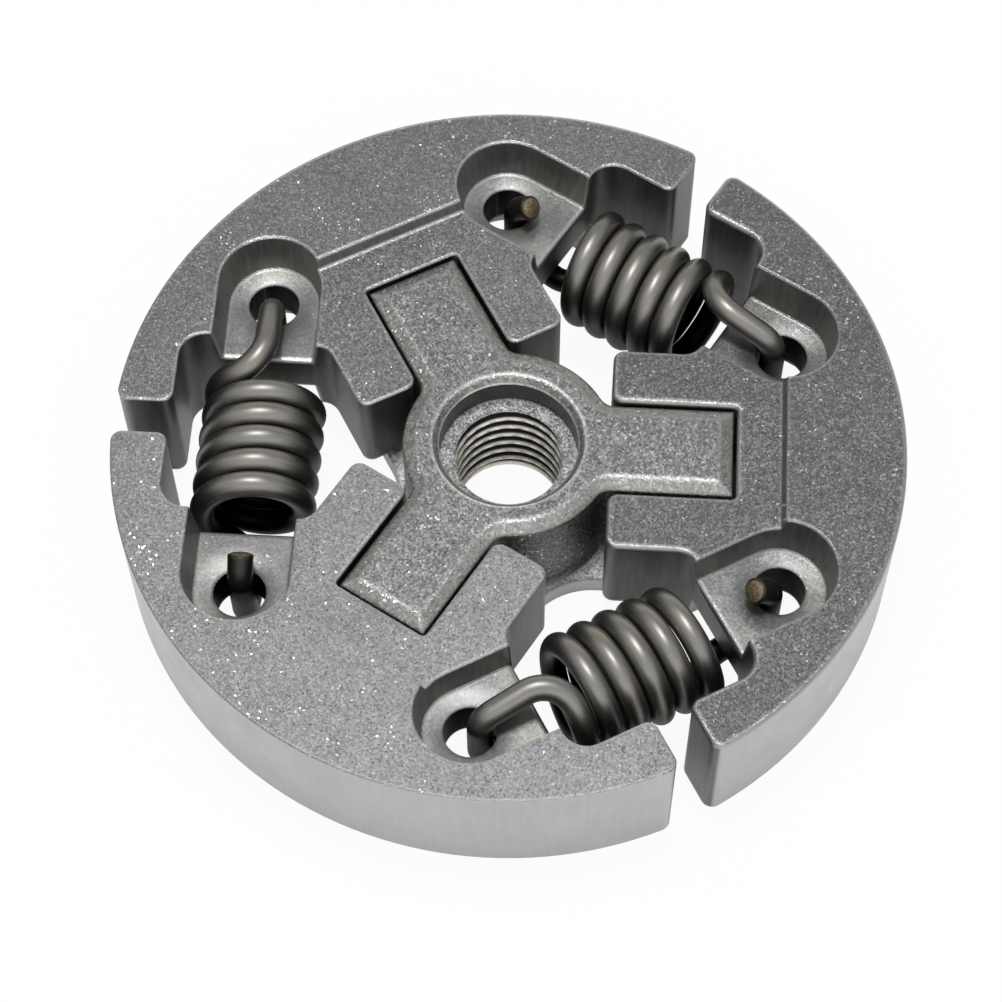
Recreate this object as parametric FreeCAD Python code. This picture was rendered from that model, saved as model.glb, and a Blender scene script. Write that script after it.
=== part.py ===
import FreeCAD, Part
import math
import os

os.makedirs("parts", exist_ok=True)

Vec = FreeCAD.Vector

# Driving dimensions in millimetres. The bore axis is +Z and the hub's flat base is z = 0.
shoe_count = 3
outer_radius = 31.75          # friction face of the shoes, springs closed
shoe_height = 11.4
shoe_lift = 1.0               # shoes' underside above the hub's base
shoe_gap = 3.0                # between the tips of neighbouring shoes
rim_thickness = 9.55          # friction face to the step, on the arm's line
slot_web = 3.95               # step to the end of the arm's slot
step_depth = 1.15             # platform below the rim, on both faces
step_slope = 0.35             # how far the step's foot runs in
horn_clearance = 0.62         # inner horns to the boss
outer_horn_thickness = 4.55   # friction face to the spring bay, midway between two shoes
tip_radius = 0.9
bay_inner_radius = 1.7
bay_outer_radius = 2.1
edge_break = 0.4              # rounding along the outline of one pressed face

spring_plate_thickness = 3.8  # floor between the upper and the lower pocket
pocket_radius = 3.75          # at the plate
pocket_draft = 0.55           # wider by this much at the rim
pocket_shoulder = 1.4         # plate beside the pocket, up to the inner horn's side
plate_edge = 5.45             # hole's centre to the plate's front edge
hole_play = 1.075             # round the wire in the plate's hole

wire_diameter = 2.05
coil_diameter = 10.2          # outside
coil_pitch = 2.17
full_turns = 5
coil_end_clearance = 1.31     # last turn to the plate's front edge
bay_clearance = 1.66          # coil to the shoe's bay wall
lead_angle = 56.0             # degrees past the outer side where the last turn leaves the coil
lead_bend = 2.7               # bend radii at the middle of the wire
hook_bend = 1.6
hook_clearance = 0.12         # hooked wire to the hole's edge
tip_lean = 50.0               # degrees, cut end leaning back over the plate
tip_length = 1.3

arm_width = 7.78
arm_side_clearance = 0.35
arm_end_clearance = 0.3
arm_fillet = 1.4              # between the boss and an arm's side
boss_radius = 8.52
panel_height = 11.48          # top of the hub's raised panel
bevel_width = 1.08
bevel_depth = 0.53
flange_thickness = 1.9
flange_tab_width = 14.4       # tabs under the arms and the inner horns
flange_reach = 14.0
flange_fillet = 6.0           # between neighbouring tabs
boss_flare = 0.35

thread_radius = 5.0           # M10 x 1.25 nominal, the ridges stand inside this bore
counterbore_radius = 5.6
counterbore_depth = 2.88      # panel to ledge
mouth_width = 0.6             # sloped ring round the counterbore
mouth_depth = 0.7
base_chamfer = 0.4

cutter_overrun = 1.0          # how far a cutting solid reaches past the face it opens
near = 1e-4                   # how close a point or radius counts as the same
level_look = 0.999            # a face's normal counts as straight up or down from here

# Worked out from the sizes above
turn = 360.0 / shoe_count
half_turn = math.radians(turn / 2.0)
shoe_top = shoe_lift + shoe_height
middle_z = shoe_lift + shoe_height / 2.0
step_x = outer_radius - rim_thickness
slot_end = step_x - slot_web
slot_half = arm_width / 2.0 + arm_side_clearance
arm_end = slot_end - arm_end_clearance
horn_end = math.sqrt((boss_radius + horn_clearance) ** 2 - slot_half ** 2)
wire_radius = wire_diameter / 2.0
coil_radius = (coil_diameter - wire_diameter) / 2.0
bay_wall = outer_radius - outer_horn_thickness
spring_line = bay_wall - bay_clearance - coil_diameter / 2.0
hole_radius = wire_radius + hole_play
pocket_depth = (shoe_height - spring_plate_thickness) / 2.0
lip_height = panel_height - bevel_depth
ledge_height = panel_height - counterbore_depth

coil_turns = full_turns + lead_angle / 180.0
coil_length = coil_turns * coil_pitch
plate_front = coil_length / 2.0 + wire_radius + coil_end_clearance
hole_line = plate_front + plate_edge

# The inner horn fills the room between the arm's slot and the spring's bay
bay_corner = spring_line - pocket_radius - pocket_shoulder
horn_side = bay_corner * math.sin(half_turn) - plate_front * math.cos(half_turn)


def bay_point(out, side, z=0.0):
    """Point in the first shoe's frame: out from the axis midway between two shoes, side towards the shoe."""
    x = out * math.cos(half_turn) + side * math.sin(half_turn)
    y = out * math.sin(half_turn) - side * math.cos(half_turn)
    return Vec(x, y, z)


def mirrored(point):
    """The same point on the other side of the arm's line."""
    return Vec(point.x, -point.y, point.z)


def around(point, steps):
    """The same point turned round the hub's axis by a number of shoe spacings."""
    return FreeCAD.Rotation(Vec(0, 0, 1), turn * steps).multVec(point)


def upright_edges(solid, places):
    """Vertical edges that stand on the given points of the plan."""
    found = []
    for edge in solid.Edges:
        low, high = edge.Vertexes[0].Point, edge.Vertexes[-1].Point
        stands = math.hypot(low.x - high.x, low.y - high.y) < near
        if stands and any(math.hypot(low.x - p.x, low.y - p.y) < near for p in places):
            found.append(edge)
    return found


def pocket_wire(radius, z):
    """Round-ended pocket outline about the spring hole, open past the plate's front edge."""
    front = plate_front - bay_inner_radius
    side_out = bay_point(spring_line + radius, hole_line, z)
    side_in = bay_point(spring_line - radius, hole_line, z)
    end = bay_point(spring_line, hole_line + radius, z)
    front_out = bay_point(spring_line + radius, front, z)
    front_in = bay_point(spring_line - radius, front, z)
    return Part.Wire([
        Part.Arc(side_in, end, side_out).toShape(),
        Part.LineSegment(side_out, front_out).toShape(),
        Part.LineSegment(front_out, front_in).toShape(),
        Part.LineSegment(front_in, side_in).toShape(),
    ])


def upper_pocket():
    """Drafted pocket from the plate up past the rim."""
    spread = pocket_draft * (1.0 + cutter_overrun / pocket_depth)
    floor = pocket_wire(pocket_radius, shoe_top - pocket_depth)
    mouth = pocket_wire(pocket_radius + spread, shoe_top + cutter_overrun)
    return Part.makeLoft([floor, mouth], True, True)


def upper_recess():
    """Space above the platform, as far out as the sloped step and out to the two holes' centres."""
    slope = step_slope / step_depth
    mouth_z = shoe_top + cutter_overrun
    half = bay_point(spring_line, hole_line).y
    section = [
        Vec(0, -half, shoe_top - step_depth),
        Vec(step_x - step_slope, -half, shoe_top - step_depth),
        Vec(step_x + slope * cutter_overrun, -half, mouth_z),
        Vec(0, -half, mouth_z),
    ]
    return Part.Face(Part.makePolygon(section + [section[0]])).extrude(Vec(0, 2.0 * half, 0))


def underneath(solid):
    """The same cut made from the lower face."""
    return solid.mirror(Vec(0, 0, middle_z), Vec(0, 0, 1))


def outline_edges(solid):
    """Edges where the outline's walls meet the upper face, and both front edges of the spring plates."""
    plate_underside = shoe_lift + pocket_depth
    chosen = []
    for edge in solid.Edges:
        faces = solid.ancestorsOfType(edge, Part.Face)
        looks = [face.normalAt(*face.Surface.parameter(edge.CenterOfMass)) for face in faces]
        under_plate = abs(edge.CenterOfMass.z - plate_underside) < near
        level = any(look.z > level_look or (under_plate and look.z < -level_look) for look in looks)
        wall = any(abs(look.z) < near for look in looks)
        round_hole = any(isinstance(face.Surface, Part.Cylinder)
                         and abs(face.Surface.Radius - hole_radius) < near for face in faces)
        if level and wall and not round_hole:
            chosen.append(edge)
    return chosen


def make_shoe():
    """One pressed shoe on the +X arm, with its rounded face up."""
    slot_corner = Vec(slot_end, slot_half, shoe_lift)
    horn_inner = Vec(horn_end, slot_half, shoe_lift)
    horn_outer = Vec(horn_end, horn_side, shoe_lift)
    bay_inner = bay_point(bay_corner, plate_front, shoe_lift)
    bay_outer = bay_point(bay_wall, plate_front, shoe_lift)
    tip_inner = bay_point(bay_wall, shoe_gap / 2.0, shoe_lift)
    tip_reach = math.sqrt(outer_radius ** 2 - (shoe_gap / 2.0) ** 2)
    tip_outer = bay_point(tip_reach, shoe_gap / 2.0, shoe_lift)
    side = [slot_corner, horn_inner, horn_outer, bay_inner, bay_outer, tip_inner, tip_outer]
    other = [mirrored(point) for point in side]
    edges = [Part.LineSegment(a, b).toShape() for a, b in zip(side, side[1:])]
    edges.append(Part.Arc(tip_outer, Vec(outer_radius, 0, shoe_lift), mirrored(tip_outer)).toShape())
    edges += [Part.LineSegment(b, a).toShape() for a, b in reversed(list(zip(other, other[1:])))]
    edges.append(Part.LineSegment(other[0], side[0]).toShape())
    body = Part.Face(Part.Wire(edges)).extrude(Vec(0, 0, shoe_height))
    rounded = [
        (tip_radius, [horn_inner, horn_outer, tip_inner, tip_outer]),
        (bay_inner_radius, [bay_inner]),
        (bay_outer_radius, [bay_outer]),
        (edge_break, [slot_corner]),
    ]
    for radius, places in rounded:
        both = places + [mirrored(point) for point in places]
        body = body.makeFillet(radius, upright_edges(body, both))
    pocket = upper_pocket()
    hole = Part.makeCylinder(hole_radius, shoe_height, bay_point(spring_line, hole_line, shoe_lift))
    across = [solid.mirror(Vec(0, 0, 0), Vec(0, 1, 0)) for solid in (pocket, hole)]
    recess = upper_recess()
    tops = [recess, pocket, across[0]]
    body = body.cut(tops + [underneath(solid) for solid in tops] + [hole, across[1]])
    body = body.removeSplitter()
    return body.makeFillet(edge_break, outline_edges(body))


def turned_over(shoe):
    """The shoe with its rounded face down, as it also fits."""
    other = shoe.copy()
    other.rotate(Vec(0, 0, middle_z), Vec(1, 0, 0), 180)
    return other


def flange_plate():
    """Base plate with a tab under each arm and a filleted corner between neighbouring tabs."""
    half = flange_tab_width / 2.0
    end_x = math.sqrt(flange_reach ** 2 - half ** 2)
    corners = [around(bay_point(half / math.sin(half_turn), 0), i) for i in range(shoe_count)]
    edges = []
    for i in range(shoe_count):
        tab_start = around(Vec(end_x, -half, 0), i)
        tab_middle = around(Vec(flange_reach, 0, 0), i)
        tab_end = around(Vec(end_x, half, 0), i)
        edges += [
            Part.LineSegment(corners[i - 1], tab_start).toShape(),
            Part.Arc(tab_start, tab_middle, tab_end).toShape(),
            Part.LineSegment(tab_end, corners[i]).toShape(),
        ]
    plate = Part.Face(Part.Wire(edges)).extrude(Vec(0, 0, flange_thickness))
    return plate.makeFillet(flange_fillet, upright_edges(plate, corners))


def boss_foot():
    """Round foot of the boss, with its flare into the flange."""
    flare_top = flange_thickness + boss_flare
    root = boss_radius + boss_flare
    dip = boss_flare * math.sqrt(0.5)
    outline = [
        Vec(0, 0, 0), Vec(root, 0, 0), Vec(root, 0, flange_thickness), Vec(boss_radius, 0, flare_top),
        Vec(0, 0, flare_top),
    ]
    edges = [Part.LineSegment(a, b).toShape() for a, b in zip(outline, outline[1:] + outline[:1])]
    edges[2] = Part.Arc(outline[2], Vec(root - dip, 0, flare_top - dip), outline[3]).toShape()
    return Part.Face(Part.Wire(edges)).revolve(Vec(0, 0, 0), Vec(0, 0, 1), 360)


def spider_wire(inset, z):
    """Plan of the boss and its arms with filleted corners between them, drawn in by an inset."""
    radius = boss_radius - inset
    reach = arm_end - inset
    side = arm_width / 2.0 - inset
    fillet = arm_fillet + inset
    fillet_x = math.sqrt((radius + fillet) ** 2 - (side + fillet) ** 2)
    centre = Vec(fillet_x, side + fillet, z)
    on_arm = Vec(fillet_x, side, z)
    to_boss = Vec(-centre.x, -centre.y, 0).normalize()
    on_boss = centre + to_boss * fillet
    between = centre + (to_boss + Vec(0, -1, 0)).normalize() * fillet
    end = Vec(reach, side, z)
    edges = []
    for i in range(shoe_count):
        arm = [on_boss, between, on_arm, end]
        left = [around(point, i) for point in arm]
        right = [around(mirrored(point), i) for point in arm]
        edges += [
            Part.Arc(right[0], right[1], right[2]).toShape(),
            Part.LineSegment(right[2], right[3]).toShape(),
            Part.LineSegment(right[3], left[3]).toShape(),
            Part.LineSegment(left[3], left[2]).toShape(),
            Part.Arc(left[2], left[1], left[0]).toShape(),
            Part.Arc(left[0], around(bay_point(radius, 0, z), i), around(mirrored(on_boss), i + 1)).toShape(),
        ]
    return Part.Wire(edges)


def spider_body():
    """Boss and arms: straight sides up to the lip, then the wide bevel up to the panel."""
    sides = Part.Face(spider_wire(0.0, 0.0)).extrude(Vec(0, 0, lip_height))
    bevel = Part.makeLoft([spider_wire(0.0, lip_height), spider_wire(bevel_width, panel_height)], True, True)
    return [sides, bevel]


def make_hub():
    """Spider: boss, arms, flange and the stepped bore, one pressed piece."""
    hub = flange_plate().fuse([boss_foot()] + spider_body()).removeSplitter()
    mouth_radius = counterbore_radius + mouth_width
    mouth_floor = panel_height - mouth_depth
    cuts = [
        Part.makeCylinder(thread_radius, panel_height),
        Part.makeCone(thread_radius + base_chamfer, thread_radius, base_chamfer),
        Part.makeCylinder(counterbore_radius, counterbore_depth, Vec(0, 0, ledge_height)),
        Part.makeCone(counterbore_radius, mouth_radius, mouth_depth, Vec(0, 0, mouth_floor)),
    ]
    return hub.cut(cuts).removeSplitter()


def disc(centre, direction):
    """Cross-section of the wire."""
    return Part.Face(Part.Wire(Part.makeCircle(wire_radius, centre, direction)))


def straight(start, end):
    """Straight length of wire."""
    return disc(start, end - start).extrude(end - start)


def bend(start, heading, turn_to, radius):
    """Bent length of wire from one direction to another, with its end point."""
    angle = heading.getAngle(turn_to)
    axis = heading.cross(turn_to).normalize()
    centre = start + axis.cross(heading) * radius
    solid = disc(start, heading).revolve(centre, axis, math.degrees(angle))
    end = start + (heading + turn_to) * (radius * math.tan(angle / 2.0))
    return solid, end


def hook(start, heading):
    """Wire from the last turn over the plate, down its hole and back under it, in the spring's own axes."""
    settling_rounds = 20
    # The dive bends round the hole's edge, which lies inside the bend
    edge_inset = (hook_bend - wire_radius - hook_clearance) * math.sqrt(0.5)
    rise = spring_plate_thickness / 2.0 - edge_inset + hook_bend
    corner = Vec(0, rise, hole_line - hole_radius - edge_inset + hook_bend)
    down = Vec(0, -1, 0)
    lean = math.radians(tip_lean)
    back = Vec(0, -math.cos(lean), -math.sin(lean))
    across = (corner - start).normalize()
    for _ in range(settling_rounds):
        lead, lead_end = bend(start, heading, across, lead_bend)
        across = (corner - lead_end).normalize()
    over_end = corner - across * (hook_bend * math.tan(across.getAngle(down) / 2.0))
    dive, dive_end = bend(over_end, across, down, hook_bend)
    below = Vec(dive_end.x, -spring_plate_thickness / 2.0, dive_end.z)
    curl, curl_end = bend(below, down, back, hook_bend)
    tip_end = curl_end + back * tip_length
    return [lead, straight(lead_end, over_end), dive, straight(dive_end, below), curl,
            straight(curl_end, tip_end)]


def make_spring():
    """Right-hand tension spring midway between two shoes, its two hooks alike when turned half round."""
    # In the spring's own axes X points away from the hub's axis, Y up and Z towards the first shoe
    rise_per_radian = coil_pitch / (2.0 * math.pi)
    section = Part.makeCircle(wire_radius, Vec(coil_radius, 0, 0), Vec(0, coil_radius, rise_per_radian))
    path = Part.Wire(Part.makeHelix(coil_pitch, coil_length, coil_radius))
    coil = path.makePipeShell([Part.Wire(section)], True, True)
    coil.rotate(Vec(0, 0, 0), Vec(0, 0, 1), -lead_angle)
    coil.translate(Vec(0, 0, -coil_length / 2.0))
    across = coil_radius * math.cos(math.radians(lead_angle))
    up = coil_radius * math.sin(math.radians(lead_angle))
    pieces = hook(Vec(across, up, coil_length / 2.0), Vec(-up, across, rise_per_radian).normalize())
    for piece in list(pieces):
        other = piece.copy()
        other.rotate(Vec(0, 0, 0), Vec(1, 0, 0), 180)
        pieces.append(other)
    spring = coil.fuse(pieces).removeSplitter()
    middle = bay_point(spring_line, 0, middle_z)
    out = bay_point(1, 0)
    towards = bay_point(0, 1)
    frame = FreeCAD.Matrix(out.x, 0, towards.x, middle.x,
                           out.y, 0, towards.y, middle.y,
                           0, 1, 0, middle.z,
                           0, 0, 0, 1)
    return spring.transformed(frame)


shoe = make_shoe()
spring = make_spring()
make_hub().exportStep("parts/hub.step")
for i in range(shoe_count):
    placed_shoe = shoe.copy() if i == 0 else turned_over(shoe)
    placed_spring = spring.copy()
    for piece, name in ((placed_shoe, "shoe"), (placed_spring, "spring")):
        piece.rotate(Vec(0, 0, 0), Vec(0, 0, 1), turn * i)
        piece.exportStep("parts/%s_%d.step" % (name, i + 1))
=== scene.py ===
import math
import bpy
import numpy as np
from mathutils import Matrix, Vector


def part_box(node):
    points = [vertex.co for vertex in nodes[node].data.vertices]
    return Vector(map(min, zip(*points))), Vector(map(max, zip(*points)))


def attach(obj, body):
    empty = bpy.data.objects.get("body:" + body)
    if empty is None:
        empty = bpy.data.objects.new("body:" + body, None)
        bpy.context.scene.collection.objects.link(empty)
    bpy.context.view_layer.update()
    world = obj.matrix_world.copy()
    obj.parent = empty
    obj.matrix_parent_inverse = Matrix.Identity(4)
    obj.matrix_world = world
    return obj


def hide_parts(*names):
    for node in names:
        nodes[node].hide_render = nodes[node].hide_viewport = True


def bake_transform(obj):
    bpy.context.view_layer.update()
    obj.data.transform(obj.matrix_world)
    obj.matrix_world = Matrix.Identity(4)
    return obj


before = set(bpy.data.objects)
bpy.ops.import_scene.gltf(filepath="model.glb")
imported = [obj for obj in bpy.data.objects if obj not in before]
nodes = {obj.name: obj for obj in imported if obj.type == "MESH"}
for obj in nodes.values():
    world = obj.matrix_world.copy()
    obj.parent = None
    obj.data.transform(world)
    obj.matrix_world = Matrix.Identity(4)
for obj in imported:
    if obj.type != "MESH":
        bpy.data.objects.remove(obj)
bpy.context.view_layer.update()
mm = 0.001
white = (1, 1, 1, 1)
noiseSpan = (0.3, 0.7)           # nearly all values of a noise pattern lie in here
print("frame loaded,", len(nodes), "solids")


# Shader helpers: inputs are plain values or sockets to join
def addNode(tree, kind, settings=None, inputs=None):
    node = tree.nodes.new("ShaderNode" + kind)
    for name, value in (settings or {}).items():
        setattr(node, name, value)
    for key, value in (inputs or {}).items():
        if isinstance(value, bpy.types.NodeSocket):
            tree.links.new(value, node.inputs[key])
        else:
            node.inputs[key].default_value = value
    return node


def calc(tree, operation, a, b=0.0):
    return addNode(tree, "Math", {"operation": operation}, {0: a, 1: b}).outputs[0]


def times(tree, first, *others):
    for other in others:
        first = calc(tree, "MULTIPLY", first, other)
    return first


# What a mask leaves over
def outside(tree, mask):
    return calc(tree, "SUBTRACT", 1.0, mask)


def either(tree, a, b):
    return calc(tree, "MAXIMUM", a, b)


def vectorCalc(tree, operation, a, b=(0, 0, 0), output="Vector"):
    return addNode(tree, "VectorMath", {"operation": operation}, {0: a, 1: b}).outputs[output]


# Vector or colour times an amount
def scaled(tree, vector, amount):
    vector = vector if isinstance(vector, bpy.types.NodeSocket) else vector[:3]
    return addNode(tree, "VectorMath", {"operation": "SCALE"}, {0: vector, "Scale": amount}).outputs["Vector"]


# Smooth step of a value from 0 at low to 1 at high, or between two given results
def ramp(tree, value, low, high, fromLow=0.0, toHigh=1.0):
    inputs = {"Value": value, "From Min": low, "From Max": high, "To Min": fromLow, "To Max": toHigh}
    return addNode(tree, "MapRange", {"interpolation_type": "SMOOTHSTEP"}, inputs).outputs["Result"]


# The same from 1 down to 0
def fall(tree, value, low, high):
    return ramp(tree, value, low, high, 1.0, 0.0)


# A noise pattern as an amount between two others
def vary(tree, pattern, least, most):
    return ramp(tree, pattern, *noiseSpan, least, most)


def mixColour(tree, factor, a, b):
    return addNode(tree, "Mix", {"data_type": "RGBA"}, {0: factor, 6: a, 7: b}).outputs[2]


def mixValue(tree, factor, a, b):
    return addNode(tree, "Mix", {"data_type": "FLOAT"}, {0: factor, 2: a, 3: b}).outputs[0]


def noise(tree, place, scale, detail=3.0, rough=0.55, stretch=None):
    if stretch:
        place = addNode(tree, "Mapping", None, {"Vector": place, "Scale": stretch}).outputs[0]
    inputs = {"Vector": place, "Scale": scale, "Detail": detail, "Roughness": rough}
    return addNode(tree, "TexNoise", None, inputs).outputs["Fac"]


def startMaterial(name):
    material = bpy.data.materials.new(name)
    material.use_nodes = True
    tree = material.node_tree
    tree.nodes.clear()
    shader = addNode(tree, "BsdfPrincipled")
    addNode(tree, "OutputMaterial", None, {"Surface": shader.outputs[0]})
    return material, tree, shader


# Joins a material's colour, roughness and relief to its shader
def finishMaterial(tree, shader, colour, roughness, metal, relief):
    tree.links.new(colour, shader.inputs["Base Color"])
    if isinstance(roughness, bpy.types.NodeSocket):
        tree.links.new(roughness, shader.inputs["Roughness"])
    else:
        shader.inputs["Roughness"].default_value = roughness
    shader.inputs["Metallic"].default_value = metal
    tree.links.new(addNode(tree, "Bump", None, relief).outputs[0], shader.inputs["Normal"])


# Places in millimetres from Object coordinates, with the distance from the axis, the height and the
# upward part of the surface's own normal
def surfacePlaces(tree):
    coords = addNode(tree, "TexCoord").outputs
    place = scaled(tree, coords["Object"], 1 / mm)
    radius = vectorCalc(tree, "LENGTH", vectorCalc(tree, "MULTIPLY", place, (1, 1, 0)), output="Value")
    height = addNode(tree, "SeparateXYZ", None, {0: place}).outputs["Z"]
    upward = addNode(tree, "SeparateXYZ", None, {0: coords["Normal"]}).outputs["Z"]
    return place, radius, height, upward


# Pressed and sintered iron, for the hub and the shoes; scales are per millimetre
sinterLook = {
    "patchScale": 0.45,          # shiny grains stand in loose patches
    "patchFrom": (0.35, 0.7),
    "patchChance": (-0.04, 0.03),
    "facetStep": 0.01,
    "facetLean": 1.6,
    "poreStep": 0.02,
    "poreShare": 0.4,
    "pore": (0.06, 0.06, 0.06, 1),
    "fineScale": 0.7,            # against the grain's own
    "cloudScale": 0.16,
    "edgeSamples": 4,
    "edgeFrom": (0.975, 0.999),  # cosine of the rounded normal against the plain one
    "wornFrom": (0.35, 0.6),     # the fine pattern breaks up worn edges
    "wornCalm": 0.6,             # and they lose this share of the grain
    "shineRough": 0.28,
    "metal": 0.9,
}


# Each cell of powder grain leans its own way, a few shine and a few are pores
def sinterGrain(tree, place, look):
    cells = addNode(tree, "TexVoronoi", None, {"Vector": place, "Scale": look["grainPerMm"]}).outputs["Color"]
    parts = addNode(tree, "SeparateColor", None, {0: cells}).outputs
    patches = noise(tree, place, sinterLook["patchScale"], detail=2.0)
    patches = ramp(tree, patches, *sinterLook["patchFrom"], *sinterLook["patchChance"])
    chance = calc(tree, "ADD", parts[0], patches)
    return {
        "lean": vectorCalc(tree, "SUBTRACT", cells, (0.5, 0.5, 0.5)),
        "shade": parts[2],
        "facet": ramp(tree, chance, look["facetFrom"], look["facetFrom"] + sinterLook["facetStep"]),
        "pore": ramp(tree, parts[1], look["poreFrom"], look["poreFrom"] + sinterLook["poreStep"]),
        "fine": noise(tree, place, look["grainPerMm"] * sinterLook["fineScale"], detail=4.0, rough=0.6),
        "cloud": noise(tree, place, sinterLook["cloudScale"]),
    }


# Rounded normal near edges, and a mask of how far it leans away from the face
def roundedEdges(tree, size):
    soft = addNode(tree, "Bevel", {"samples": sinterLook["edgeSamples"]}, {"Radius": size}).outputs[0]
    plain = addNode(tree, "NewGeometry").outputs["Normal"]
    same = vectorCalc(tree, "DOT_PRODUCT", soft, plain, "Value")
    return soft, fall(tree, same, *sinterLook["edgeFrom"])


# Shiny grains and pores on the rough faces, with the mask of the shiny ones
def speckled(tree, colour, grain, rough, look):
    shine = times(tree, grain["facet"], rough)
    pored = times(tree, grain["pore"], rough, sinterLook["poreShare"])
    colour = mixColour(tree, shine, colour, look["facet"])
    return mixColour(tree, pored, colour, sinterLook["pore"]), shine


# The surface's normal, rounded at edges and leaned by each grain where the face is rough and not worn
def grainNormal(tree, grain, rough, worn, soft, steepest):
    calm = times(tree, rough, outside(tree, times(tree, worn, sinterLook["wornCalm"])))
    amount = times(tree, calm, steepest, mixValue(tree, grain["facet"], 1.0, sinterLook["facetLean"]))
    leaned = vectorCalc(tree, "ADD", soft, scaled(tree, grain["lean"], amount))
    return vectorCalc(tree, "NORMALIZE", leaned)


shoeLook = {
    "top": (0.205, 0.207, 0.212, 1),
    "friction": (0.462, 0.474, 0.486, 1),
    "plate": (0.235, 0.236, 0.236, 1),
    "plateWarm": (0.275, 0.268, 0.248, 1),
    # painted shade: upright walls darker than the tops
    "wall": (0.096, 0.093, 0.088, 1),
    # painted light: walls drafted a little upward are lighter
    "pocket": (0.285, 0.277, 0.264, 1),
    # painted shade: the spring holes' walls near black
    "hole": (0.022, 0.021, 0.02, 1),
    "holeShadeTint": (0.45, 0.45, 0.45, 1),     # painted shade: a hole's wall mirrors less at a flat angle, so it stays dark
    "facet": (0.85, 0.85, 0.86, 1),
    "turns": {"shoe_1": 0, "shoe_2": 120, "shoe_3": 240},
    "springTurn": 60,                        # from a shoe to the spring beside it
    "paintedLightTones": {"shoe_1": 0.7, "shoe_2": 0.87, "shoe_3": 1.12},        # painted light: each shoe's tops lighter or darker by how light falls on it
    # painted light: each shoe's plates lighter or darker by how light falls on them
    "paintedLightPlateTones": {"shoe_1": 0.88, "shoe_2": 1.14, "shoe_3": 0.95},
    "edges": {"shoe_1": 0.42, "shoe_2": 0.62, "shoe_3": 0.5},        # sharp edges carry a bright burr
    "leans": {"shoe_1": 0.42, "shoe_2": 0.32, "shoe_3": 0.24},
    "grainPerMm": 7.0,
    "facetFrom": 0.982,
    "poreFrom": 0.96,
    "edgeSize": 0.42 * mm,
    # which face is which, by the upward part of its normal or by millimetres
    "level": (0.6, 0.9),
    "drafted": (0.05, 0.12),
    "rounded": (0.35, 0.6),
    "roundedEnd": (0.97, 0.995),
    "frictionDepth": (0.25, 0.05),
    "plateDepth": (2.1, 2.4),                # half the spring plate, with its edge
    "plateCalm": 0.75,
    "holeInset": 0.2,                        # hole's middle short of the spring's end
    "holeWall": (2.2, 2.45),
    "dish": 0.2,                             # steepest slope of a plate towards its hole
    "dishAt": (2.1, 4.6),
    # patterns: scales per millimetre, and how much each darkens and lightens
    "streakScale": 2.2,
    "streakStretch": (1.0, 1.0, 0.12),       # drawn by the die, along the height
    "blotchScale": 0.3,
    "warmFrom": (0.45, 0.65),
    "cloudShade": (0.95, 1.05),
    "grainShade": (0.92, 1.08),
    "fineShade": (0.93, 1.07),
    "frictionShade": (0.97, 1.03),
    "wallShade": (0.85, 1.15),
    "plateShade": (0.88, 1.12),
    "worn": 0.7,
    "topRough": (0.43, 0.55),
    "plateRough": (0.34, 0.44),
    "wallRough": 0.36,
    "relief": 0.05 * mm,
    "reliefStrength": 0.5,
    "wallRelief": 0.12,
    "frictionRelief": 0.04,
}


# Middles of the two spring holes of a shoe in millimetres: each spring's axis lies square to a direction half
# way between two shoes, and the hole is just short of the spring's end
def springHoles(look, turn):
    low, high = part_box("spring_2")
    out = -(high.x + low.x) / 2 / mm
    reach = (high.y - low.y) / 2 / mm - look["holeInset"]
    holes = []
    for side in (-1, 1):
        angle = math.radians(turn + side * look["springTurn"])
        holes.append((out * math.cos(angle) + side * reach * math.sin(angle),
                      out * math.sin(angle) - side * reach * math.cos(angle), 0.0))
    return holes


# Direction to each hole's middle, level, and the distance from it
def holeGaps(tree, place, holes):
    gaps = []
    for hole in holes:
        gap = vectorCalc(tree, "MULTIPLY", vectorCalc(tree, "SUBTRACT", hole, place), (1, 1, 0))
        gaps.append((vectorCalc(tree, "NORMALIZE", gap), vectorCalc(tree, "LENGTH", gap, output="Value")))
    return gaps


# The plate's normal leans towards the nearer hole, most at its rim
def dished(tree, normal, plate, gaps, look):
    for towards, away in gaps:
        slope = times(tree, ramp(tree, away, *look["dishAt"], look["dish"], 0.0), plate)
        normal = vectorCalc(tree, "ADD", normal, scaled(tree, towards, slope))
    return normal


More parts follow.
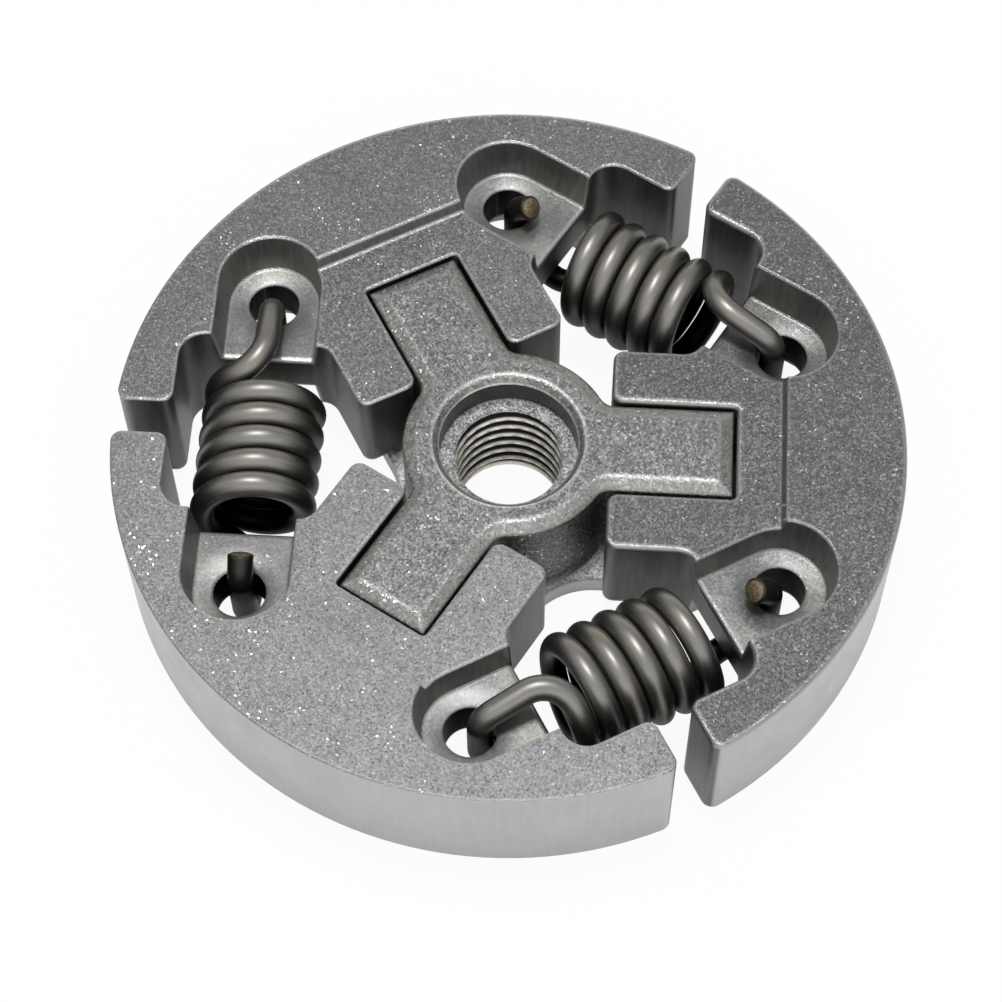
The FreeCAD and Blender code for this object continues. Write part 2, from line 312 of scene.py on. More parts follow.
def shoeIron(look, node):
    material, tree, shader = startMaterial("sintered_" + node)
    place, radius, height, upward = surfacePlaces(tree)
    grain = sinterGrain(tree, place, look)
    streak = noise(tree, place, look["streakScale"], rough=0.6, stretch=look["streakStretch"])
    blotch = noise(tree, place, look["blotchScale"], detail=4.0)

    # the faces
    shoeLow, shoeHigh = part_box("shoe_1")
    middle = (shoeLow.z + shoeHigh.z) / 2 / mm
    outer = shoeHigh.x / mm
    steep = calc(tree, "ABSOLUTE", upward)
    level = ramp(tree, steep, *look["level"])
    upright = outside(tree, level)
    friction = times(tree, ramp(tree, radius, *(outer - inward for inward in look["frictionDepth"])), upright)
    depth = calc(tree, "ABSOLUTE", calc(tree, "SUBTRACT", height, middle))
    plate = times(tree, level, fall(tree, depth, *look["plateDepth"]))
    wall = calc(tree, "SUBTRACT", upright, friction)
    rough = calc(tree, "SUBTRACT", level, times(tree, plate, look["plateCalm"]))
    gaps = holeGaps(tree, place, springHoles(look, look["turns"][node]))
    inHole = fall(tree, calc(tree, "MINIMUM", gaps[0][1], gaps[1][1]), *look["holeWall"])

    # their colours
    # the shoe's tone is painted light
    cloudShade = [look["paintedLightTones"][node] * share for share in look["cloudShade"]]
    tops = scaled(tree, look["top"], vary(tree, grain["cloud"], *cloudShade))
    # painted light and shade on the walls by how far they lean upward
    walls = mixColour(tree, ramp(tree, steep, *look["drafted"]), look["wall"], look["pocket"])
    # painted shade on the walls of the spring holes
    walls = mixColour(tree, inHole, walls, look["hole"])
    plates = mixColour(tree, ramp(tree, blotch, *look["warmFrom"]), look["plate"], look["plateWarm"])
    colour = mixColour(tree, wall, tops, walls)
    # plates take their painted light tone
    colour = mixColour(tree, plate, colour, scaled(tree, plates, look["paintedLightPlateTones"][node]))
    colour = mixColour(tree, friction, colour, look["friction"])
    paintedHoleShade = mixColour(tree, times(tree, inHole, wall), white, look["holeShadeTint"])
    tree.links.new(paintedHoleShade, shader.inputs["Specular Tint"])

    # grain, streaks and blotches
    grained = times(tree, ramp(tree, grain["shade"], 0.0, 1.0, *look["grainShade"]),
                    vary(tree, grain["fine"], *look["fineShade"]))
    streaked = mixValue(tree, wall, vary(tree, streak, *look["frictionShade"]),
                        vary(tree, streak, *look["wallShade"]))
    blotched = mixValue(tree, plate, 1.0, vary(tree, blotch, *look["plateShade"]))
    colour = scaled(tree, colour, times(tree, mixValue(tree, rough, streaked, grained), blotched))
    colour, shine = speckled(tree, colour, grain, rough, look)

    # worn edges
    soft, edge = roundedEdges(tree, look["edgeSize"])
    rounded = times(tree, ramp(tree, upward, *look["rounded"]), fall(tree, upward, *look["roundedEnd"]))
    worn = times(tree, either(tree, edge, rounded),
                 ramp(tree, grain["fine"], *sinterLook["wornFrom"], look["worn"], 1.0))
    bright = look["edges"][node]
    colour = mixColour(tree, worn, colour, (bright, bright, bright, 1))

    satin = mixValue(tree, wall, vary(tree, blotch, *look["plateRough"]), look["wallRough"])
    roughness = mixValue(tree, rough, satin, vary(tree, grain["fine"], *look["topRough"]))
    roughness = mixValue(tree, either(tree, shine, worn), roughness, sinterLook["shineRough"])
    drawn = times(tree, streak, mixValue(tree, friction, look["wallRelief"], look["frictionRelief"]))
    soft = dished(tree, soft, plate, gaps, look)
    finishMaterial(tree, shader, colour, roughness, sinterLook["metal"], {
        "Strength": look["reliefStrength"], "Distance": look["relief"],
        "Height": mixValue(tree, rough, drawn, grain["fine"]),
        "Normal": grainNormal(tree, grain, rough, worn, soft, look["leans"][node])})
    return material


hubLook = {
    "panel": (0.202, 0.202, 0.205, 1),
    "bevel": (0.305, 0.302, 0.288, 1),
    "wall": (0.18, 0.178, 0.172, 1),
    # painted shade: the counterbore's wall near black
    "bore": (0.07, 0.069, 0.068, 1),
    # painted light: the flange top near white, though it lies in shade
    "flange": (0.95, 0.95, 0.95, 1),
    "rim": (0.43, 0.45, 0.46, 1),
    # painted light: the ledge paler than the panel, though it lies in shade
    "ledge": (0.5, 0.5, 0.5, 1),
    "mouth": (0.33, 0.325, 0.302, 1),        # chamfer round the counterbore
    # worn edges round the mouth, painted near white as a highlight
    "mouthEdgeHighlight": (0.9, 0.9, 0.9, 1),
    # painted highlight: a thin bright ring at the counterbore's upper rim
    "lip": (0.95, 0.95, 0.94, 1),
    "edge": (0.42, 0.42, 0.425, 1),
    "facet": (0.85, 0.85, 0.85, 1),
    "grainPerMm": 6.4,
    "facetFrom": 0.965,
    "poreFrom": 0.95,
    "lean": 0.36,
    "edgeSize": 0.5 * mm,
    # which face is which, by the upward part of its normal or by millimetres
    "level": (0.95, 0.985),
    "sloped": (0.4, 0.6),
    "upright": (0.3, 0.5),
    "bevelDepth": (1.0, 0.8),                # the sloped faces lie this close under the panel
    "bevelFrom": (6.4, 6.7),
    "mouthShare": 0.35,
    "mouthEnd": (6.9, 7.1),
    "lipEnd": (5.67, 5.74),
    "ledgeEnd": (6.0, 6.1),
    "boreWall": (6.0, 6.3),
    "rimTop": (1.8, 2.0),
    "flangeTop": (2.1, 2.5),
    "bevelSmooth": 0.2,
    "smoothCalm": 0.9,
    # how much each pattern darkens and lightens
    "grainShade": (0.88, 1.12),
    "fineShade": (0.9, 1.1),
    "smoothShade": (0.96, 1.04),
    "cloudShade": (0.94, 1.06),
    "coarseShade": (0.7, 1.4),               # flange and ledge
    "wallShade": (0.45, 1.75),
    "worn": 0.55,
    "panelRough": (0.4, 0.52),
    "smoothRough": 0.38,
    "coarseRough": 0.7,
    "relief": 0.06 * mm,
    "reliefStrength": 0.55,
}


def hubIron(look):
    material, tree, shader = startMaterial("sinteredHub")
    place, radius, height, upward = surfacePlaces(tree)
    grain = sinterGrain(tree, place, look)

    # the faces
    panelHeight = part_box("hub")[1].z / mm
    level = ramp(tree, upward, *look["level"])
    slope = times(tree, ramp(tree, upward, *look["sloped"]), outside(tree, level))
    wall = fall(tree, upward, *look["upright"])
    high = ramp(tree, height, *(panelHeight - depth for depth in look["bevelDepth"]))
    bevel = times(tree, slope, high, ramp(tree, radius, *look["bevelFrom"], look["mouthShare"], 1.0))
    aroundMouth = times(tree, fall(tree, radius, *look["mouthEnd"]), high)
    mouth = times(tree, slope, aroundMouth)
    # painted highlight ring at the counterbore's upper rim
    lip = times(tree, slope, fall(tree, radius, *look["lipEnd"]))
    ledge = times(tree, level, fall(tree, radius, *look["ledgeEnd"]), outside(tree, high))
    bore = times(tree, wall, fall(tree, radius, *look["boreWall"]))
    rim = times(tree, wall, fall(tree, height, *look["rimTop"]))
    flange = times(tree, level, fall(tree, height, *look["flangeTop"]))
    machined = either(tree, rim, bore)
    smooth = either(tree, times(tree, bevel, look["bevelSmooth"]), machined)
    rough = outside(tree, times(tree, smooth, look["smoothCalm"]))
    coarse = either(tree, flange, ledge)

    colour = mixColour(tree, wall, look["panel"], look["wall"])
    # flange and ledge colours are painted light, the bore's painted shade
    for mask, key in ((bevel, "bevel"), (mouth, "mouth"), (rim, "rim"), (bore, "bore"), (flange, "flange"),
                      (ledge, "ledge")):
        colour = mixColour(tree, mask, colour, look[key])

    # grain and clouds
    grained = times(tree, ramp(tree, grain["shade"], 0.0, 1.0, *look["grainShade"]),
                    vary(tree, grain["fine"], *look["fineShade"]))
    shade = mixValue(tree, rough, vary(tree, grain["fine"], *look["smoothShade"]), grained)
    coarseShade = mixValue(tree, coarse, 1.0, ramp(tree, grain["shade"], 0.0, 1.0, *look["coarseShade"]))
    bossWall = calc(tree, "SUBTRACT", wall, machined)
    wallShade = mixValue(tree, bossWall, 1.0, vary(tree, grain["fine"], *look["wallShade"]))
    shade = times(tree, shade, vary(tree, grain["cloud"], *look["cloudShade"]), coarseShade, wallShade)
    colour, shine = speckled(tree, scaled(tree, colour, shade), grain, rough, look)

    # worn edges, with painted highlights on the edges round the mouth and on the lip ring
    soft, edge = roundedEdges(tree, look["edgeSize"])
    worn = times(tree, edge, ramp(tree, grain["fine"], *sinterLook["wornFrom"], look["worn"], 1.0),
                 outside(tree, either(tree, bore, ledge)))
    colour = mixColour(tree, worn, colour, mixColour(tree, aroundMouth, look["edge"], look["mouthEdgeHighlight"]))
    colour = mixColour(tree, lip, colour, look["lip"])

    roughness = mixValue(tree, rough, look["smoothRough"], vary(tree, grain["fine"], *look["panelRough"]))
    roughness = mixValue(tree, either(tree, shine, worn), roughness, sinterLook["shineRough"])
    roughness = mixValue(tree, coarse, roughness, look["coarseRough"])
    finishMaterial(tree, shader, colour, roughness, sinterLook["metal"], {
        "Strength": look["reliefStrength"], "Distance": look["relief"],
        "Height": times(tree, grain["fine"], rough),
        "Normal": grainNormal(tree, grain, rough, worn, soft, look["lean"])})
    return material


def dress(node, material):
    mesh = nodes[node].data
    mesh.materials.clear()
    mesh.materials.append(material)


for node in shoeLook["paintedLightTones"]:
    dress(node, shoeIron(shoeLook, node))
hubMaterial = hubIron(hubLook)
dress("hub", hubMaterial)
print("iron dressed")


# Faces of a grid of points, closed round its second direction and, if asked, its first: each joins a point,
# the next one round and their two neighbours in the following ring
def ringFaces(rings, sides, closed=False):
    ring = np.arange(rings if closed else rings - 1)[:, None]
    side = np.arange(sides)[None, :]
    following = (ring + 1) % rings
    beside = (side + 1) % sides
    corners = [ring * sides + side, ring * sides + beside,
               following * sides + beside, following * sides + side]
    return np.stack(np.broadcast_arrays(*corners), axis=-1).reshape(-1, 4)


def meshPiece(name, points, faces, materials):
    mesh = bpy.data.meshes.new(name)
    mesh.from_pydata(points.tolist(), [], faces)
    mesh.update()
    mesh.shade_smooth()
    for material in materials:
        mesh.materials.append(material)
    piece = bpy.data.objects.new(name, mesh)
    bpy.context.scene.collection.objects.link(piece)
    return piece


threadLook = {
    "pitch": 1.25 * mm,
    "crest": 4.36 * mm,
    "root": 4.97 * mm,
    "crestShare": 0.1,           # flat part of the wave at the crest, and the flank's part up to the root
    "flankShare": 0.7,
    "phase": 0.465,              # where in a pitch the thread starts
    "turnSides": 200,
    "ringsPerPitch": 22,
    "lip": 0.25 * mm,            # the ridges end on a plain lip at the base
    "edge": 0.06 * mm,           # and on a thin one at the ledge, over a groove of this height
    "groove": 0.6 * mm,
    "tear": 0.08 * mm,
    "tears": [(17, 0.0), (29, 1.0), (43, 2.0)],      # waves to a turn and their starts
    "counterbore": 2.88 * mm,
    "proud": 0.02 * mm,          # the lips' faces cover the joint with the solid
    "cornerAngle": 35.0,
    # the sleeve's back inside the solid, in mm: radius and distance below the ledge, then above the base
    "backTop": [(6.3, 0.0), (6.3, 0.1), (5.06, 0.1)],
    "backBase": [(5.06, 0.5), (5.5, 0.05), (5.5, 0.0)],
    "colour": (0.95, 0.92, 0.84, 1),
    "deep": (0.012, 0.011, 0.01, 1),
    "deepFrom": (4.39, 4.62),    # radii where the dark of the groove begins and is full, in mm
    "fineScale": 4.0,
    "fineStretch": (1.0, 1.0, 3.0),
    "fineShade": (0.75, 1.25),
    "rough": (0.34, 0.5),
    "metal": 0.9,
    "relief": 0.03 * mm,
    "reliefStrength": 0.35,
}


def threadSteel(look):
    material, tree, shader = startMaterial("cutThread")
    place, radius, _, _ = surfacePlaces(tree)
    fine = noise(tree, place, look["fineScale"], detail=4.0, rough=0.6, stretch=look["fineStretch"])
    colour = mixColour(tree, ramp(tree, radius, *look["deepFrom"]), look["colour"], look["deep"])
    colour = scaled(tree, colour, vary(tree, fine, *look["fineShade"]))
    finishMaterial(tree, shader, colour, vary(tree, fine, *look["rough"]), look["metal"], {
        "Strength": look["reliefStrength"], "Distance": look["relief"], "Height": fine})
    return material


# Left-hand thread. Its radius at an angle and a height is a flattened triangle wave of height / pitch plus
# the part of a turn, from crest to root. It runs up to the crest at both ends, under the ledge along a torn
# line, a sum of sines of the angle
def threadSleeve(look, low, high):
    rings = int((high - low) / look["pitch"] * look["ringsPerPitch"])
    angle = np.linspace(0, 2 * np.pi, look["turnSides"], endpoint=False)[:, None]
    z = np.linspace(low, high, rings)[None, :]
    wave = np.abs(2 * ((z / look["pitch"] + look["phase"] + angle / (2 * np.pi)) % 1.0) - 1)
    wave = np.clip((wave - look["crestShare"]) / look["flankShare"], 0, 1)
    wave = wave * np.clip((z - low) / look["lip"] - 1, 0, 1)
    torn = look["tear"] * sum(np.sin(count * angle + start) for count, start in look["tears"])
    under = high - z - look["edge"]
    grooveTop = np.clip((under - np.abs(torn) / 2) / look["edge"], 0, 1)
    grooveEnd = np.clip((look["groove"] + torn - under) / look["edge"], 0, 1)
    wave = np.maximum(wave * np.clip(under / look["groove"], 0, 1), grooveTop * grooveEnd)
    inside = look["crest"] + (look["root"] - look["crest"]) * wave
    back = [(r, high / mm - down) for r, down in look["backTop"]]
    back += [(r, low / mm + up) for r, up in look["backBase"]]
    backR, backZ = np.array(back).T * mm
    r = np.concatenate([inside, np.broadcast_to(backR, (len(angle), len(backR)))], axis=1)
    z = np.broadcast_to(np.concatenate([z[0], backZ]), r.shape)
    points = np.stack([r * np.cos(angle), r * np.sin(angle), z], axis=-1)
    return points.reshape(-1, 3), ringFaces(r.shape[0], r.shape[1], closed=True)


# The sleeve between the hub's base and its ledge; its level faces have the hub's own iron
def makeThread(look):
    hubLow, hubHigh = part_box("hub")
    low = hubLow.z + look["proud"] / 2
    high = hubHigh.z - look["counterbore"] + look["proud"]
    points, faces = threadSleeve(look, low, high)
    thread = meshPiece("crank_thread_ridges", points, faces.tolist(), [threadSteel(look), hubMaterial])
    thread.data.set_sharp_from_angle(angle=math.radians(look["cornerAngle"]))
    level = np.ptp(points[faces][:, :, 2], axis=1) < look["proud"]
    thread.data.polygons.foreach_set("material_index", level.astype(np.int32))
    return thread


thread = makeThread(threadLook)
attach(thread, "hub")
print("thread cut,", len(thread.data.polygons), "faces")


springLook = {
    "sides": {1: 60, 2: 180, 3: 300},        # direction of each spring from the axis
    "wire": 2.05 * mm,
    "pitch": 2.17 * mm,
    "fullTurns": 5,
    "leadAngle": 56.0,           # the coil goes on past its full turns by this, to the hook
    "leadBend": 2.7 * mm,
    "leadRounds": 20,            # repeats until the lead bend points at the hook's corner
    "hookBend": 1.6 * mm,
    "hookClearance": 0.12 * mm,  # hooked wire to the hole's edge
    "plate": 3.8 * mm,
    "tipLean": 50.0,
    "tipLength": 1.3 * mm,
    "tipSteps": 4,
    "endBreak": 0.16 * mm,       # broken edge of the sheared ends, across and along the wire
    "endBreakAlong": 0.112 * mm,
    "guide": (0.31, 0.17, 0.93),             # any direction that the wire never runs along
    "sidesRound": 28,
    "stepsPerTurn": 64,
    "stepsPerBend": 14,
    "steel": (0.252, 0.246, 0.236, 1),
    "bloom": (0.278, 0.264, 0.23, 1),
    "bloomFrom": (0.42, 0.68),
    "bloomScale": 0.55,
    "lowShade": 0.08,                 # painted shade darkens the wire's lower part, between these heights in mm
    "lowShadeAt": (4.2, 11.6),
    "inside": 0.2,               # and the inside of the coil
    "tip": 0.2,                  # and the tips, over these lengths from the end in mm
    "tipDark": (2.8, 6.6),
    "drawnStretch": (0.35, 26.0, 1.0),
    "drawnShade": (0.93, 1.07),
    "rough": (0.38, 0.43),
    "metal": 1.0,
    "relief": 0.02 * mm,
    "reliefStrength": 0.05,
    "cut": (0.24, 0.175, 0.1, 1),
    "cutBright": (0.48, 0.38, 0.26, 1),
    "cutBrightFrom": (0.4, 0.7),
    "cutScale": 5.0,
    "cutRough": 0.45,
    "cutMetal": 0.9,
    "cutRelief": 0.05 * mm,
    "cutReliefStrength": 0.5,
}


def springSteel(look, wireLength):
    material, tree, shader = startMaterial("oilTemperedWire")
    place, _, height, _ = surfacePlaces(tree)
    wire = addNode(tree, "UVMap", {"uv_map": "wire"}).outputs[0]
    drawn = noise(tree, wire, 1.0, detail=4.0, rough=0.6, stretch=look["drawnStretch"])
    cloud = noise(tree, place, look["bloomScale"])
    inside = addNode(tree, "Attribute", {"attribute_name": "inside"}).outputs["Fac"]
    along = addNode(tree, "SeparateXYZ", None, {0: wire}).outputs["X"]
    fromEnd = calc(tree, "MINIMUM", along, calc(tree, "SUBTRACT", wireLength / mm, along))
    colour = mixColour(tree, ramp(tree, cloud, *look["bloomFrom"]), look["steel"], look["bloom"])
    # painted shade: the wire's lower part, the inside of the coil and the tips darker
    for shade in (vary(tree, drawn, *look["drawnShade"]),
                  ramp(tree, height, *look["lowShadeAt"], look["lowShade"], 1.0),
                  mixValue(tree, inside, 1.0, look["inside"]),
                  ramp(tree, fromEnd, *look["tipDark"], look["tip"], 1.0)):
        colour = scaled(tree, colour, shade)
    finishMaterial(tree, shader, colour, vary(tree, drawn, *look["rough"]), look["metal"], {
        "Strength": look["reliefStrength"], "Distance": look["relief"], "Height": drawn})
    return material


def cutSteel(look):
    material, tree, shader = startMaterial("shearedWireEnd")
    torn = noise(tree, surfacePlaces(tree)[0], look["cutScale"], detail=4.0, rough=0.65)
    colour = mixColour(tree, ramp(tree, torn, *look["cutBrightFrom"]), look["cut"], look["cutBright"])
    finishMaterial(tree, shader, colour, look["cutRough"], look["cutMetal"], {
        "Strength": look["cutReliefStrength"], "Distance": look["cutRelief"], "Height": torn})
    return material


def unit(vector):
    return vector / np.linalg.norm(vector)


# Circular bend of a radius from one heading to another: points on the arc, and where it ends
def bendPoints(start, heading, turnTo, radius, steps):
    angle = math.acos(float(np.clip(heading @ turnTo, -1, 1)))
    inward = unit(turnTo - heading * (heading @ turnTo))
    part = np.linspace(0, angle, steps)[:, None]
    points = start + radius * (np.sin(part) * heading + (1 - np.cos(part)) * inward)
    return points, points[-1]


# Hook in the spring's own axes (out, up, along): lead bend off the coil, straight over the plate,
# bend down the hole, bend back and the short tip
def hookPoints(look, start, heading, reach):
    steps = look["stepsPerBend"]
    wire = look["wire"] / 2
    bend = look["hookBend"]
    inset = (bend - wire - look["hookClearance"]) * math.sqrt(0.5)
    corner = np.array([0.0, look["plate"] / 2 - inset + bend, reach - wire])
    down = np.array([0.0, -1.0, 0.0])
    lean = math.radians(look["tipLean"])
    back = np.array([0.0, -math.cos(lean), -math.sin(lean)])
    across = unit(corner - start)
    for _ in range(look["leadRounds"]):
        lead, leadEnd = bendPoints(start, heading, across, look["leadBend"], steps)
        across = unit(corner - leadEnd)
    overEnd = corner - across * bend * math.tan(math.acos(float(across @ down)) / 2)
    dive, diveEnd = bendPoints(overEnd, across, down, bend, steps)
    below = np.array([diveEnd[0], -look["plate"] / 2, diveEnd[2]])
    curl, curlEnd = bendPoints(below, down, back, bend, steps)
    part = np.arange(1, look["tipSteps"] + 1)[:, None] / look["tipSteps"]
    tip = curlEnd + back * part * look["tipLength"]
    return np.concatenate([lead[1:], dive, curl, tip])


# The wire's middle line: a helix (angle from minus to plus the lead angle past the full turns, length in step
# with it), with the same hook at both ends, turned half round about the outward axis
def springLine(look, coilRadius, reach):
    lead = math.radians(look["leadAngle"])
    turns = look["fullTurns"] + lead / math.pi
    length = turns * look["pitch"]
    part = np.linspace(0, 1, int(turns * look["stepsPerTurn"]))
    angle = -lead + part * turns * 2 * np.pi
    helix = np.stack([coilRadius * np.cos(angle), coilRadius * np.sin(angle), (part - 0.5) * length], axis=-1)
    heading = unit(np.array([-helix[-1, 1], helix[-1, 0], look["pitch"] / (2 * np.pi)]))
    hook = hookPoints(look, helix[-1], heading, reach)
    other = hook[::-1] * np.array([1, -1, -1])
    return np.concatenate([other, helix, hook]), length


# Round section carried along the middle line. The section's first axis is one fixed guide direction made
# square to the path; sections are then turned by the summed twist between neighbours, so none is twisted
def wireSpokes(look, line):
    tangent = np.gradient(line, axis=0)
    tangent /= np.linalg.norm(tangent, axis=1, keepdims=True)
    guide = np.broadcast_to(np.array(look["guide"]), line.shape)
    first = guide - (guide * tangent).sum(1, keepdims=True) * tangent
    first /= np.linalg.norm(first, axis=1, keepdims=True)
    second = np.cross(tangent, first)
    axis = np.cross(tangent[:-1], tangent[1:])
    sine = np.linalg.norm(axis, axis=1, keepdims=True)
    axis = axis / np.maximum(sine, 1e-12)
    cosine = (tangent[:-1] * tangent[1:]).sum(1, keepdims=True)
    carried = (first[:-1] * cosine + np.cross(axis, first[:-1]) * sine
               + axis * (axis * first[:-1]).sum(1, keepdims=True) * (1 - cosine))
    twist = np.arctan2((carried * second[1:]).sum(1), (carried * first[1:]).sum(1))
    turned = np.concatenate([[0.0], np.cumsum(twist)])[:, None]
    around = np.linspace(0, 2 * np.pi, look["sidesRound"], endpoint=False)[None, :] + turned
    spokes = (np.cos(around)[..., None] * first[:, None, :]
              + np.sin(around)[..., None] * second[:, None, :])
    return tangent, spokes


# Rings of the wire, each its radius off the middle line, with a smaller ring at each end for its broken edge
def wireRings(look, line):
    tangent, spokes = wireSpokes(look, line)
    radius = look["wire"] / 2
    rings = line[:, None, :] + spokes * radius
    rings[0] += tangent[0] * look["endBreakAlong"]
    rings[-1] -= tangent[-1] * look["endBreakAlong"]
    startRing = line[0] + spokes[0] * (radius - look["endBreak"])
    endRing = line[-1] + spokes[-1] * (radius - look["endBreak"])
    return np.concatenate([startRing[None], rings, endRing[None]])


# Wire map: millimetres along the wire, and the part of a turn round it, which ends at 1 on the seam
def mapWire(mesh, grid, quadCount):
    count, sides = grid.shape[:2]
    along = np.linalg.norm(np.diff(grid.mean(1), axis=0), axis=1)
    along = np.concatenate([[0], np.cumsum(along)]) / mm
    loops = np.zeros(len(mesh.loops), dtype=np.int32)
    mesh.loops.foreach_get("vertex_index", loops)
    index = np.minimum(loops, count * sides - 1)
    uv = np.stack([along[index // sides], (index % sides) / sides], axis=-1)
    farCorners = np.arange(quadCount * 4).reshape(-1, 4)[:, [1, 2]].ravel()
    uv[farCorners[uv[farCorners, 1] == 0], 1] = 1.0
    layer = mesh.uv_layers.new(name="wire")
    layer.data.foreach_set("uv", uv.astype(np.float32).ravel())


# Spring on its seat: its own axes (out, up, along) are turned about the upright to the given side, and its
# ends are closed by fans about the wire's middle
def makeSpring(look, name, line, length, seat, side, materials):
    grid = wireRings(look, line)
    count, sides = grid.shape[:2]
    points = np.concatenate([grid.reshape(-1, 3), line[[0, -1]]])
    wire = look["wire"] / 2
    # how far each point lies inside the coil, for its painted shade
    inside = np.clip((seat["coilRadius"] - np.linalg.norm(points[:, :2], axis=1)) / wire, 0, 1)
    inside = inside * (np.abs(points[:, 2]) < length / 2 + wire)
    spoke = np.arange(sides)
    beside = (spoke + 1) % sides
    startPole = np.full(sides, count * sides)
    endPole = startPole + 1
    last = (count - 1) * sides
    startCap = np.stack([startPole, beside, spoke], axis=-1)
    endCap = np.stack([endPole, last + spoke, last + beside], axis=-1)
    quads = ringFaces(count, sides)
    angle = math.radians(side)
    out = np.array([math.cos(angle), math.sin(angle), 0])
    up = np.array([0.0, 0.0, 1.0])
    towards = np.cross(out, up)
    middle = out * seat["out"] + up * seat["height"]
    points = middle + points @ np.stack([out, up, towards])
    piece = meshPiece(name, points, quads.tolist() + startCap.tolist() + endCap.tolist(), materials)
    mesh = piece.data
    isCap = np.arange(len(mesh.polygons)) >= len(quads)
    mesh.polygons.foreach_set("material_index", isCap.astype(np.int32))
    insideLayer = mesh.attributes.new("inside", "FLOAT", "POINT")
    insideLayer.data.foreach_set("value", inside.astype(np.float32))
    mapWire(mesh, grid, len(quads))
    return piece, Vector(middle + towards * length / 2), Vector(middle - towards * length / 2)


# spring_2's axis runs along Y, on the far side of the hub, and the others lie the same way on their own sides
springLow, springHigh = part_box("spring_2")
springSeat = {
    "reach": (springHigh.y - springLow.y) / 2,
    "coilRadius": (springHigh.x - springLow.x) / 2 - springLook["wire"] / 2,
    "out": -(springHigh.x + springLow.x) / 2,
    "height": (springHigh.z + springLow.z) / 2,
}
wireLine, coilLength = springLine(springLook, springSeat["coilRadius"], springSeat["reach"])
wireLength = np.linalg.norm(np.diff(wireLine, axis=0), axis=1).sum()
wireMaterials = [springSteel(springLook, wireLength), cutSteel(springLook)]
for index, side in springLook["sides"].items():
    node = "spring_%d" % index
    piece, start, end = makeSpring(springLook, "wire_spring_%d" % index, wireLine, coilLength, springSeat,
                                   side, wireMaterials)
    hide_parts(node)
    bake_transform(piece)
print("springs wound, %.0f mm of wire each" % (wireLength / mm))


cameraLook = {
    "target": (-0.233 * mm, -6.179 * mm, 12.357 * mm),
    "azimuth": 3.954,
    "elevation": 60.62,
    "roll": -0.57,
    "distance": 214.0 * mm,
    "lens": 97.74,
    "sensor": 36,
    "nearest": 1.0 * mm,
}


# Camera at a distance back along its view, which turns by azimuth about the upright and looks down by
# elevation
def setCamera(look):
    azimuth, elevation, roll = (math.radians(look[key]) for key in ("azimuth", "elevation", "roll"))
    forward = Vector((-math.sin(azimuth) * math.cos(elevation), math.cos(azimuth) * math.cos(elevation),
                      -math.sin(elevation)))
    right = Vector((math.cos(azimuth), math.sin(azimuth), 0))
    up = right.cross(forward)
    rolledRight = right * math.cos(roll) + up * math.sin(roll)
    rolledUp = up * math.cos(roll) - right * math.sin(roll)
    data = bpy.data.cameras.new("camera")
    data.lens = look["lens"]
    data.sensor_width = look["sensor"]
    data.clip_start = look["nearest"]
    camera = bpy.data.objects.new("camera", data)
    bpy.context.scene.collection.objects.link(camera)
    turn = Matrix((rolledRight, rolledUp, -forward)).transposed().to_4x4()
    camera.matrix_world = Matrix.Translation(Vector(look["target"]) - forward * look["distance"]) @ turn
    bpy.context.scene.camera = camera


setCamera(cameraLook)


studioLook = {
    "floorSize": 4.0,
    "floorDrop": 0.01 * mm,      # keeps the floor clear of the hub's base
    "floorColour": (0.9, 0.9, 0.9, 1),
    "floorGlow": 0.94,           # share of the floor's white that no shadow reaches
    "floorShine": 0.45,          # the same share as metal shows it
    "floorSidePools": 1.38,          # and painted pools of light, this much brighter at both sides as metal shows them, over these distances in metres
    "floorSidePoolsAt": (0.012, 0.034),
    # the room's brightness; pairs are upward, sideways or backward parts of the direction looked in
    "horizon": 0.45,
    "dome": 0.5,
    "domeAt": (0.08, 0.6),
    "sideShade": 0.3,            # darker low down at both sides
    "sideShadeAt": (0.45, 0.8),
    "sideShadeTop": (0.36, 0.6),
    "frontGlow": 0.42,           # paler overhead, away from this direction by the cosines given
    "greyAbove": (0.0, 0.49, 0.87),
    "frontGlowAt": (0.68, 0.86),
    "frontGlowLow": (0.38, 0.6),
    "backGlow": 1.3,             # bright and warm low down behind the object
    "backGlowAt": (0.65, 0.98),
    "backGlowTop": (0.1, 0.45),
    "backColour": (1.0, 0.96, 0.84, 1),
    "lampAim": (0, 0, 6 * mm),
    "lamps": [
        # name, place in metres, size, power
        ("overhead softbox", (-0.02, 0.05, 0.42), (0.09, 0.09), 0.7),
        ("front fill", (0.10, -0.36, 0.20), (0.6, 0.3), 0.35),
    ],
}
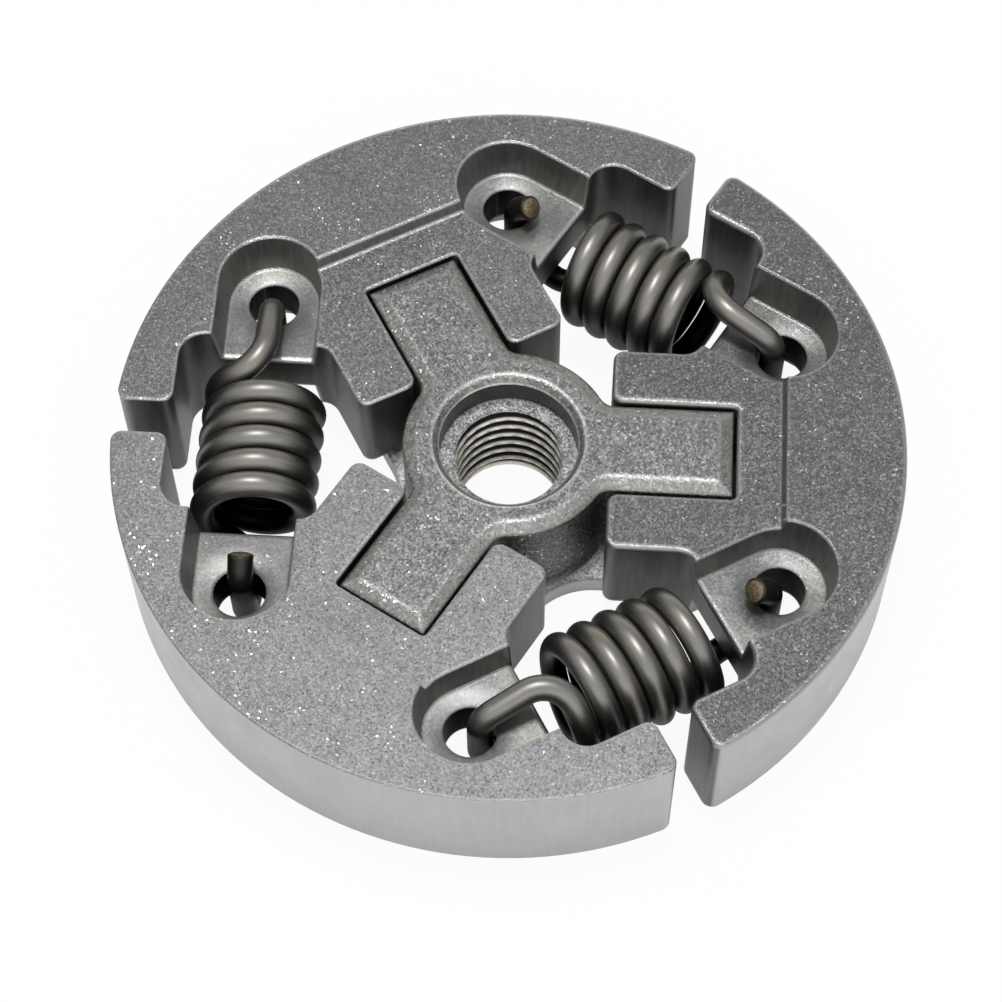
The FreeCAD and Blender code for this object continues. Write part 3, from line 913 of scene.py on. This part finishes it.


# White floor that keeps part of the object's shadow; metal shows it less bright, with painted pools of light
# at both sides
def makeFloor(look):
    half = look["floorSize"] / 2
    corners = np.array([[-half, -half, 0], [half, -half, 0], [half, half, 0], [-half, half, 0]])
    corners[:, 2] -= look["floorDrop"]
    material = bpy.data.materials.new("paleFloor")
    material.use_nodes = True
    tree = material.node_tree
    tree.nodes.clear()
    rays = addNode(tree, "LightPath").outputs
    mirrored = either(tree, rays["Is Glossy Ray"], rays["Is Transmission Ray"])
    across = addNode(tree, "SeparateXYZ", None, {0: addNode(tree, "TexCoord").outputs["Object"]}).outputs["X"]
    # painted pools of light at both sides, seen only in reflections
    sides = ramp(tree, calc(tree, "ABSOLUTE", across), *look["floorSidePoolsAt"], 1.0, look["floorSidePools"])
    share = either(tree, times(tree, rays["Is Camera Ray"], look["floorGlow"]),
                   times(tree, mirrored, look["floorShine"], sides))
    plain = addNode(tree, "BsdfDiffuse", None, {"Color": look["floorColour"]})
    glow = addNode(tree, "Emission", None, {"Color": white, "Strength": 1.0})
    mixed = addNode(tree, "MixShader", None, {0: share, 1: plain.outputs[0], 2: glow.outputs[0]})
    addNode(tree, "OutputMaterial", None, {"Surface": mixed.outputs[0]})
    meshPiece("floor", corners, [(0, 1, 2, 3)], [material])


# Even room by the height of the direction looked in, darker low down at both sides, paler overhead in front,
# and with a warm glow low down behind the object
def makeWorld(look):
    world = bpy.data.worlds.new("studio")
    bpy.context.scene.world = world
    world.use_nodes = True
    tree = world.node_tree
    tree.nodes.clear()
    direction = addNode(tree, "TexCoord").outputs["Generated"]
    towards = addNode(tree, "SeparateXYZ", None, {0: direction}).outputs
    room = ramp(tree, towards["Z"], *look["domeAt"], look["horizon"], look["dome"])
    beside = times(tree, ramp(tree, calc(tree, "ABSOLUTE", towards["X"]), *look["sideShadeAt"]),
                   ramp(tree, towards["Z"], *look["sideShadeTop"], look["sideShade"], 0.0))
    near = vectorCalc(tree, "DOT_PRODUCT", direction, look["greyAbove"], "Value")
    front = times(tree, ramp(tree, near, *look["frontGlowAt"], look["frontGlow"], 0.0),
                  ramp(tree, towards["Z"], *look["frontGlowLow"]))
    behind = times(tree, ramp(tree, towards["Y"], *look["backGlowAt"]),
                   fall(tree, towards["Z"], *look["backGlowTop"]))
    strength = calc(tree, "ADD", calc(tree, "SUBTRACT", room, beside), front)
    strength = calc(tree, "ADD", strength, times(tree, behind, look["backGlow"]))
    colour = mixColour(tree, behind, white, look["backColour"])
    light = addNode(tree, "Background", None, {"Color": colour, "Strength": strength})
    addNode(tree, "OutputWorld", None, {"Surface": light.outputs[0]})


def makeLamp(aim, name, place, size, power):
    data = bpy.data.lights.new(name, "AREA")
    data.shape = "RECTANGLE"
    data.size, data.size_y = size
    data.energy = power
    lamp = bpy.data.objects.new(name, data)
    bpy.context.scene.collection.objects.link(lamp)
    ray = Vector(aim) - Vector(place)
    lamp.matrix_world = Matrix.Translation(place) @ ray.to_track_quat("-Z", "Y").to_matrix().to_4x4()


makeFloor(studioLook)
makeWorld(studioLook)
for lamp in studioLook["lamps"]:
    makeLamp(studioLook["lampAim"], *lamp)
bpy.context.scene.view_settings.view_transform = "Standard"
print("studio lit")
